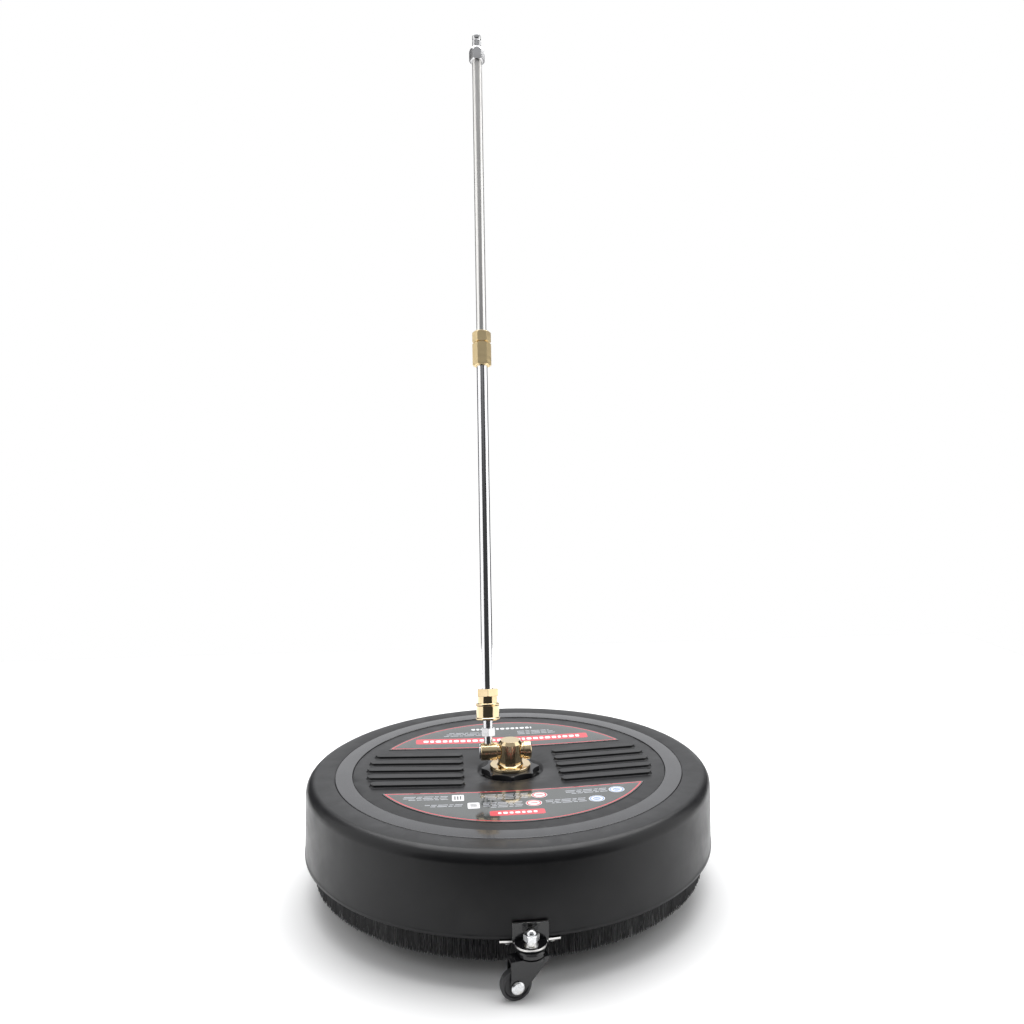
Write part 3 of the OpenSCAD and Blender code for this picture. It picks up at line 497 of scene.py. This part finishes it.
def ring_quads(cx, cy, r0, r1):
    """Outlines that make up a flat ring between two radii."""
    return [[on_circle(cx, cy, r0, k), on_circle(cx, cy, r1, k),
             on_circle(cx, cy, r1, k + 1), on_circle(cx, cy, r0, k + 1)] for k in range(ROUND_STEPS)]


def border_outline(inset, steps=60):
    """Points round a label at an inset from its edge: along the straight edge, then back along the arc."""
    radius, chord = LABEL_R / MM - inset, LABEL_CHORD / MM + inset
    half = math.sqrt(radius ** 2 - chord ** 2)
    straight = [(-half + 2 * half * k / steps, chord) for k in range(steps)]
    a0 = math.atan2(chord, half)
    round_side = [(radius * math.cos(a0 + (math.pi - 2 * a0) * k / steps),
                   radius * math.sin(a0 + (math.pi - 2 * a0) * k / steps)) for k in range(steps)]
    return straight + round_side


def border(inset=1.2, width=1.3):
    """Outlines that make up a line round a label, inset from its edge."""
    outer, inner = border_outline(inset), border_outline(inset + width)
    n = len(outer)
    return [[outer[i], outer[(i + 1) % n], inner[(i + 1) % n], inner[i]] for i in range(n)]


def word_row(x0, x1, y, height, gap, widths):
    """A row of plain blocks that fills x0 to x1 with blocks of the given widths, over and over."""
    shortest, roundness, corner_steps = 1.0, 0.35, 3
    bars, x, i = [], x0, 0
    while x < x1 - shortest:
        end = min(x + widths[i % len(widths)], x1)
        corner_r = min(height, end - x) * roundness
        bars.append(rounded_bar(x, y, end, y + height, corner_r, corner_steps))
        x = end + gap
        i += 1
    return bars


def rear_label_print():
    """Red border and banner with white blocks on it, a shorter row above, and small lines between."""
    printed("label_rear_border", border(), MATERIAL["ink_red"], REAR)
    printed("label_rear_banner", [rounded_bar(-96, 75, 92, 90, 2.5)], MATERIAL["ink_red"], REAR)
    heading = word_row(-88, 84, y=79.2, height=6.6, gap=1.7, widths=(5.5, 4.2, 6.0, 5.0, 3.4, 5.6))
    second = word_row(-35, 33, y=114, height=5.2, gap=1.5, widths=(4.2, 3.2, 4.8, 4.0))
    printed("label_rear_blocks", heading + second, MATERIAL["ink_white"], REAR, layer=1)
    small = []
    line_pitch, line_h, line_gap = 4.2, 2.0, 1.2
    for row in range(3):
        y = 97 + line_pitch * row
        small += word_row(-66 + 3 * row, -22, y, line_h, line_gap, (6, 9, 4, 11))
        small += word_row(16, 60 - 4 * row, y, line_h, line_gap, (8, 5, 10, 6))
    printed("label_rear_lines", small, MATERIAL["ink_grey"], REAR)


# Small printed signs on the front label: centres of the red ones and of the blue ones
RED_SIGNS = ((-21, 76.5), (-14, 96))
BLUE_SIGNS = ((-94, 76.5), (-72, 95.5))


def front_signs():
    """White discs with a red or blue ring, a red bar, or a blue disc with a white bar."""
    disc_r, ring_r0, ring_r1, dot_r = 7.4, 5.4, 6.8, 3.6
    signs = RED_SIGNS + BLUE_SIGNS
    printed("label_front_discs", [disc(x, y, disc_r) for x, y in signs], MATERIAL["ink_white"], FRONT)
    reds = [q for x, y in RED_SIGNS for q in ring_quads(x, y, ring_r0, ring_r1)]
    reds += [rounded_bar(x - 3.4, y - 0.9, x + 3.4, y + 0.9, 0.6) for x, y in RED_SIGNS]
    blues = [q for x, y in BLUE_SIGNS for q in ring_quads(x, y, ring_r0, ring_r1)]
    blues += [disc(x, y, dot_r) for x, y in BLUE_SIGNS]
    whites = [rounded_bar(x - 2.6, y - 0.6, x + 2.6, y + 0.6, 0.4) for x, y in BLUE_SIGNS]
    printed("label_front_red_marks", reds, MATERIAL["ink_red"], FRONT, layer=1)
    printed("label_front_blue_marks", blues, MATERIAL["ink_blue"], FRONT, layer=1)
    printed("label_front_white_bars", whites, MATERIAL["ink_white"], FRONT, layer=2)


def front_lines():
    """Blocks of small grey lines: left end, right end, lowest line and number of lines of each block."""
    line_pitch, line_h, line_gap, last_shorter = 3.6, 1.8, 1.1, 5
    blocks = ((-11, 32, 69.5, 4), (-4, 32, 90, 4), (-85, -46, 70.5, 3), (-62, -25, 91, 3),
              (63, 104, 70, 3), (50, 84, 91, 2))
    lines = []
    for x0, x1, y0, rows in blocks:
        for row in range(rows):
            end = x1 - last_shorter * (row == rows - 1)
            y = y0 + line_pitch * row
            lines += word_row(x0 + row % 2, end, y, line_h, line_gap, (7, 4, 9, 5, 11))
    printed("label_front_lines", lines, MATERIAL["ink_grey"], FRONT)


def front_label_print():
    """Red border and banner, two white panels with dark marks, round signs and small lines."""
    printed("label_front_border", border(), MATERIAL["ink_red"], FRONT)
    printed("label_front_banner", [rounded_bar(-22, 110.5, 27, 122.5, 2.5)], MATERIAL["ink_red"], FRONT)
    heading = word_row(-15, 20, y=114.2, height=4.6, gap=1.5, widths=(3.4, 4.2, 3.0, 4.6))
    panels = [rounded_bar(48.5, 68, 59.5, 83, 1.5), rounded_bar(35, 88.6, 45.8, 103, 1.5)]
    printed("label_front_blocks", heading + panels, MATERIAL["ink_white"], FRONT, layer=1)
    front_signs()
    front_lines()
    marks = [rounded_bar(51 + 2.6 * k, 71, 52.2 + 2.6 * k, 80, 0.4) for k in range(3)]
    marks += [rounded_bar(37.5, 92 + 3.2 * k, 43.5, 93.4 + 3.2 * k, 0.5) for k in range(3)]
    printed("label_front_dark_marks", marks, MATERIAL["label"], FRONT, layer=2)


def deck():
    """Shroud, trim ring and labels with their print."""
    dress("shroud", MATERIAL["shell"])
    dress("trim_ring", MATERIAL["trim"])
    dress("label_front", MATERIAL["label"])
    dress("label_rear", MATERIAL["label"])
    rear_label_print()
    front_label_print()


# ---- brush ----

WHEEL_REACH = 27 * MM
WHEEL_TOP = 27 * MM
BEND_HEIGHT = 6 * MM


def clear_of_wheels(p, stems):
    """Moves a point of a fibre inwards, clear of the space that the wheels sweep."""
    depth = min(max((WHEEL_TOP + BEND_HEIGHT - p.z) / BEND_HEIGHT, 0), 1)
    for stem in stems:
        flat = Vector((p.x - stem.x, p.y - stem.y))
        if depth and flat.length < WHEEL_REACH:
            outward = Vector((stem.x, stem.y)).normalized()
            across = flat - outward * flat.dot(outward)
            needed = math.sqrt(max(WHEEL_REACH ** 2 - across.length ** 2, 0)) + flat.dot(outward)
            p = p - Vector((outward.x, outward.y, 0)) * needed * depth
    return p


def bristles():
    """Rows of separate fibres that hang from the carrier; those beside a caster bend inwards past its
    wheel."""
    low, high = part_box("brush_skirt")
    outer = high[0] - 0.5 * MM
    inner = outer - 2.7 * MM
    root_z, tip_z = high[2], low[2]
    rows, per_row, sides = 4, 1150, 4
    fibre_r, taper = 0.33 * MM, 0.25
    scatter, drift_spread, splay_spread, tip_spread = 0.3, 0.5, 0.25, 0.35
    stems = [Vector(joint("caster_swivel_" + c)["pos_m"]) - SPIN_AXIS for c in CORNERS]
    shares = (0.0, 0.35, 0.7, 1.0)
    verts, faces = [], []
    for row in range(rows):
        base_r = inner + (outer - inner) * (row + 0.5) / rows
        for k in range(per_row):
            a = 2 * math.pi * (k + row / rows + RNG.uniform(-scatter, scatter)) / per_row
            r = base_r + RNG.uniform(-scatter, scatter) * MM
            drift = RNG.gauss(0, drift_spread) * MM / r
            outwards = (row - (rows - 1) / 2) * splay_spread * MM
            splay = outwards + RNG.gauss(0, splay_spread) * MM
            tip = tip_z + abs(RNG.gauss(0, tip_spread)) * MM
            first = len(verts)
            for share in shares:
                angle = a + drift * share ** 2
                radius = r + splay * share ** 2
                height = root_z + (tip - root_z) * share
                spot = Vector((radius * math.cos(angle), radius * math.sin(angle), height))
                centre = clear_of_wheels(spot, stems)
                width = fibre_r * (1 - taper * share)
                for j in range(sides):
                    t = a + 2 * math.pi * j / sides
                    verts.append(centre + Vector((width * math.cos(t), width * math.sin(t), 0)))
            for step in range(len(shares) - 1):
                o = first + sides * step
                for j in range(sides):
                    n = (j + 1) % sides
                    faces.append((o + j, o + n, o + sides + n, o + sides + j))
            faces.append(tuple(first + sides * (len(shares) - 1) + j for j in range(sides)))
            faces.append(tuple(first + j for j in reversed(range(sides))))
    mesh = bpy.data.meshes.new("bristle_ring")
    mesh.from_pydata([tuple(v) for v in verts], [], faces)
    mesh.transform(ABOUT_SPIN)
    mesh.materials.append(MATERIAL["fibre"])
    smooth(mesh, SMOOTH_FIBRE_UP_TO)
    obj = bpy.data.objects.new("bristle_ring", mesh)
    bpy.context.scene.collection.objects.link(obj)
    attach(obj, "base")
    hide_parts("brush_skirt")


def brush():
    """Bristles, their carrier and its screws."""
    bristles()
    dress("brush_carrier", MATERIAL["shell"], 0.15 * MM)
    dress("brush_screws", MATERIAL["zinc"], 0.12 * MM)


# ---- swivel, elbow and lance ----

def spring():
    """The sleeve's return spring as a real coil, in place of the CAD rings."""
    s0, s1 = along_lance("sleeve_spring")
    wire_r = 0.42 * MM
    coil_r = 8.95 * MM
    turns = 3.6
    steps = 150
    points = []
    for k in range(steps + 1):
        t = k / steps
        a = 2 * math.pi * turns * t
        height = s0 + wire_r + (s1 - s0 - 2 * wire_r) * t
        points.append(Vector((coil_r * math.cos(a), coil_r * math.sin(a), height)))
    verts, faces = swept_circle(points, wire_r)
    piece("sleeve_spring_coil", verts, faces, LANCE_FRAME, MATERIAL["zinc"], "lance",
          replaced=("sleeve_spring",))


def swivel():
    """The swivel on the deck, its bearings and the tilting elbow."""
    dress("lock_knob", MATERIAL["knob"], 0.4 * MM)
    dress("deck_gasket", MATERIAL["rubber"], 0.1 * MM)
    dress("deck_washer", MATERIAL["zinc"], 0.2 * MM)
    dress("clamp_nut", MATERIAL["zinc"], 0.2 * MM)
    dress("swivel_body", MATERIAL["brass_z"], 0.25 * MM)
    dress("pivot_spindle", MATERIAL["steel_x"], 0.15 * MM)
    dress("pivot_cap", MATERIAL["brass_x"], 0.2 * MM)
    dress("inlet_elbow", MATERIAL["brass_x"], 0.15 * MM)
    for node in ("upper_bearing", "lower_bearing", "bearing_circlip"):
        dress(node, MATERIAL["steel_z"], 0.05 * MM)
    dress("shaft_seal", MATERIAL["rubber"], 0.1 * MM)


def lance():
    """The coupling, the two tubes and the plug at the top."""
    dress("elbow_plug", MATERIAL["steel_lance"], 0.12 * MM)
    dress("coupler_body", MATERIAL["brass_lance"], 0.15 * MM)
    dress("coupler_sleeve", MATERIAL["brass_lance"], 0.2 * MM)
    dress("coupler_seal", MATERIAL["rubber"])
    dress("lock_balls", MATERIAL["steel_lance"])
    dress("lower_tube", MATERIAL["tube_bright"], 0.1 * MM)
    dress("joint_socket", MATERIAL["brass_satin"], 0.15 * MM)
    dress("joint_nut", MATERIAL["brass_satin"], 0.15 * MM)
    dress("upper_tube", MATERIAL["tube_satin"], 0.1 * MM)
    dress("top_collar", MATERIAL["steel_lance"], 0.12 * MM)
    dress("top_plug", MATERIAL["steel_lance"], 0.12 * MM)
    spring()


# ---- spray bar ----

def spray_bar():
    """Shaft, hub, arms and nozzles under the deck."""
    dress("rotor_shaft", MATERIAL["steel_z"], 0.15 * MM)
    dress("rotor_hub", MATERIAL["brass_z"], 0.3 * MM)
    dress("hub_nut", MATERIAL["zinc"], 0.15 * MM)
    dress("arm_nuts", MATERIAL["zinc"], 0.15 * MM)
    for arm in ("a", "b"):
        dress("spray_arm_" + arm, MATERIAL["steel_z"], 0.3 * MM)
        dress("nozzle_" + arm, MATERIAL["brass_z"], 0.12 * MM)


# ---- casters ----

def bare_edges(corner):
    """Shows bare steel on the cut edges of a bracket, with painted shade on their lower part, and black
    paint on its broad faces.
    """
    facing, upright_share, top_band = 0.7, 0.4, 1 * MM
    obj = nodes["bracket_" + corner]
    obj.data.materials.append(MATERIAL["cut_steel"])
    stem = Vector(joint("caster_swivel_" + corner)["pos_m"]) - SPIN_AXIS
    outward = Vector((stem.x, stem.y, 0)).normalized()
    along = Vector((-outward.y, outward.x, 0))
    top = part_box("bracket_" + corner)[1][2]
    for face in obj.data.polygons:
        n, z = face.normal, face.center.z
        sideways = abs(n.dot(along)) > facing
        rim = abs(n.z) < upright_share and z < PLATE_TOP
        upper = n.z > facing and z > top - top_band
        if sideways or rim or upper:
            face.material_index = 1


def casters():
    """Three brackets with their forks, wheels and fasteners."""
    for corner in CORNERS:
        dress("bracket_" + corner, MATERIAL["paint"], 0.15 * MM)
        bare_edges(corner)
        dress("caster_stem_" + corner, MATERIAL["paint"], 0.25 * MM)
        dress("caster_fork_" + corner, MATERIAL["paint"], 0.3 * MM)
        dress("caster_axle_" + corner, MATERIAL["zinc"], 0.2 * MM)
        dress("caster_wheel_" + corner, MATERIAL["wheel"], 0.2 * MM)
    dress("bracket_screws", MATERIAL["zinc"], 0.12 * MM)
    dress("stem_washers", MATERIAL["zinc"], 0.12 * MM)
    dress("stem_nuts", MATERIAL["zinc"], 0.12 * MM)


# ---- camera, light, floor ----

VIEW_TURN = math.radians(-7.53)
CAMERA_BACK = 886.9 * MM
CAMERA_SIDE = 48.8 * MM
CAMERA_ABOVE_DECK = 324.5 * MM
CAMERA_PITCH = math.radians(4.48)
LENS = 31.68
SHIFT_X = -0.0455
SENSOR = 36.0
NEAR_CLIP = 0.01
RING_RISE = 0.2 * MM
DECK_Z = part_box("trim_ring")[1][2] - RING_RISE


def camera():
    """The camera stands a little to the right of the object, which is turned by VIEW_TURN against it."""
    turn = Matrix.Rotation(VIEW_TURN, 4, "Z")
    data = bpy.data.cameras.new("camera")
    data.lens = LENS
    data.sensor_width = SENSOR
    data.shift_x = SHIFT_X
    data.clip_start = NEAR_CLIP
    obj = bpy.data.objects.new("camera", data)
    place = Matrix.Translation(Vector((CAMERA_SIDE, -CAMERA_BACK, CAMERA_ABOVE_DECK + DECK_Z)))
    look = Matrix.Rotation(math.pi / 2 - CAMERA_PITCH, 4, "X")
    obj.matrix_world = ABOUT_SPIN @ turn @ place @ look
    bpy.context.scene.collection.objects.link(obj)
    bpy.context.scene.camera = obj


def area_light(name, azimuth, height, distance, size, power, aim_z):
    """A softbox that looks at the object at height aim_z. azimuth, in degrees, is measured from the camera's
    side of the object, positive to the right."""
    data = bpy.data.lights.new(name, "AREA")
    data.shape = "RECTANGLE"
    data.size, data.size_y = size
    data.energy = power
    obj = bpy.data.objects.new(name, data)
    a = VIEW_TURN + math.radians(azimuth)
    spot = Vector((distance * math.sin(a), -distance * math.cos(a), height))
    direction = Vector((0, 0, aim_z)) - spot
    obj.rotation_euler = direction.to_track_quat("-Z", "Y").to_euler()
    obj.location = spot + SPIN_AXIS
    obj.visible_camera = False
    bpy.context.scene.collection.objects.link(obj)


DARK_ROOM = 0.05
FLOOR_SIDE = 1.1
FLOOR_FRONT = -0.36
FLOOR_BACK = 1.0
BACK_TURN = VIEW_TURN + math.pi / 2


def studio_world():
    """Reflections see a bright wall straight behind, a bright ceiling and a dimmer one in front, with a dark
    room elsewhere; the camera itself sees plain white."""
    world = bpy.data.worlds.new("studio")
    bpy.context.scene.world = world
    world.use_nodes = True
    tree = world.node_tree
    add, link = tree.nodes.new, tree.links.new
    around = tree.nodes["Background"]
    direction = add("ShaderNodeTexCoord").outputs["Generated"]

    def glow(backwards, upwards, low, high, strength):
        """Light that grows as a ray turns towards one direction."""
        part = add("ShaderNodeVectorMath")
        part.operation = "DOT_PRODUCT"
        part.inputs[1].default_value = (
            math.cos(BACK_TURN) * backwards, math.sin(BACK_TURN) * backwards, upwards)
        link(direction, part.inputs[0])
        ramp = add("ShaderNodeMapRange")
        ramp.interpolation_type = "SMOOTHSTEP"
        ramp.inputs["From Min"].default_value = low
        ramp.inputs["From Max"].default_value = high
        ramp.inputs["To Min"].default_value = DARK_ROOM
        ramp.inputs["To Max"].default_value = strength
        link(part.outputs["Value"], ramp.inputs["Value"])
        return ramp.outputs["Result"]

    def brighter(first, second):
        node = add("ShaderNodeMath")
        node.operation = "MAXIMUM"
        link(first, node.inputs[0])
        link(second, node.inputs[1])
        return node.outputs["Value"]

    wall = glow(backwards=1, upwards=0.2, low=0.86, high=0.96, strength=1.0)
    ceiling = glow(backwards=0.45, upwards=0.89, low=0.7, high=0.95, strength=0.8)
    front = glow(backwards=-0.5, upwards=0.87, low=0.72, high=0.97, strength=0.42)
    around.inputs["Color"].default_value = (0.97, 0.98, 1.0, 1.0)
    link(brighter(brighter(wall, ceiling), front), around.inputs["Strength"])
    seen = add("ShaderNodeBackground")
    seen.inputs["Color"].default_value = (1, 1, 1, 1)
    seen.inputs["Strength"].default_value = 1.0
    path = add("ShaderNodeLightPath")
    mix = add("ShaderNodeMixShader")
    link(path.outputs["Is Camera Ray"], mix.inputs["Fac"])
    link(around.outputs["Background"], mix.inputs[1])
    link(seen.outputs["Background"], mix.inputs[2])
    link(mix.outputs["Shader"], tree.nodes["World Output"].inputs["Surface"])


def stage():
    """White floor, studio surroundings and three softboxes."""
    scene = bpy.context.scene
    scene.view_settings.view_transform = "Standard"
    mesh = bpy.data.meshes.new("floor")
    corners = [(-FLOOR_SIDE, FLOOR_FRONT, 0), (FLOOR_SIDE, FLOOR_FRONT, 0),
               (FLOOR_SIDE, FLOOR_BACK, 0), (-FLOOR_SIDE, FLOOR_BACK, 0)]
    mesh.from_pydata(corners, [], [(0, 1, 2, 3)])
    floor = bpy.data.objects.new("floor", mesh)
    white, dimmer, lighter = (0.9, 0.9, 0.9), (0.895, 0.895, 0.895), (0.905, 0.905, 0.905)
    look = Look("floor_white", white, 0.9)
    look.color(look.mix(look.levels(look.noise(3, detail=2), 0.3, 0.7), dimmer, lighter))
    mesh.materials.append(look.material)
    scene.collection.objects.link(floor)
    studio_world()
    area_light("softbox_left", -78, height=0.8, distance=1.5, size=(2.0, 2.2), power=17, aim_z=0.5)
    area_light("softbox_right", 86, height=0.8, distance=1.5, size=(1.8, 2.2), power=18, aim_z=0.5)
    area_light("top_light", 180, height=2.4, distance=0.75, size=(3.0, 2.4), power=95, aim_z=0.0)


deck()
brush()
swivel()
lance()
spray_bar()
casters()
camera()
stage()
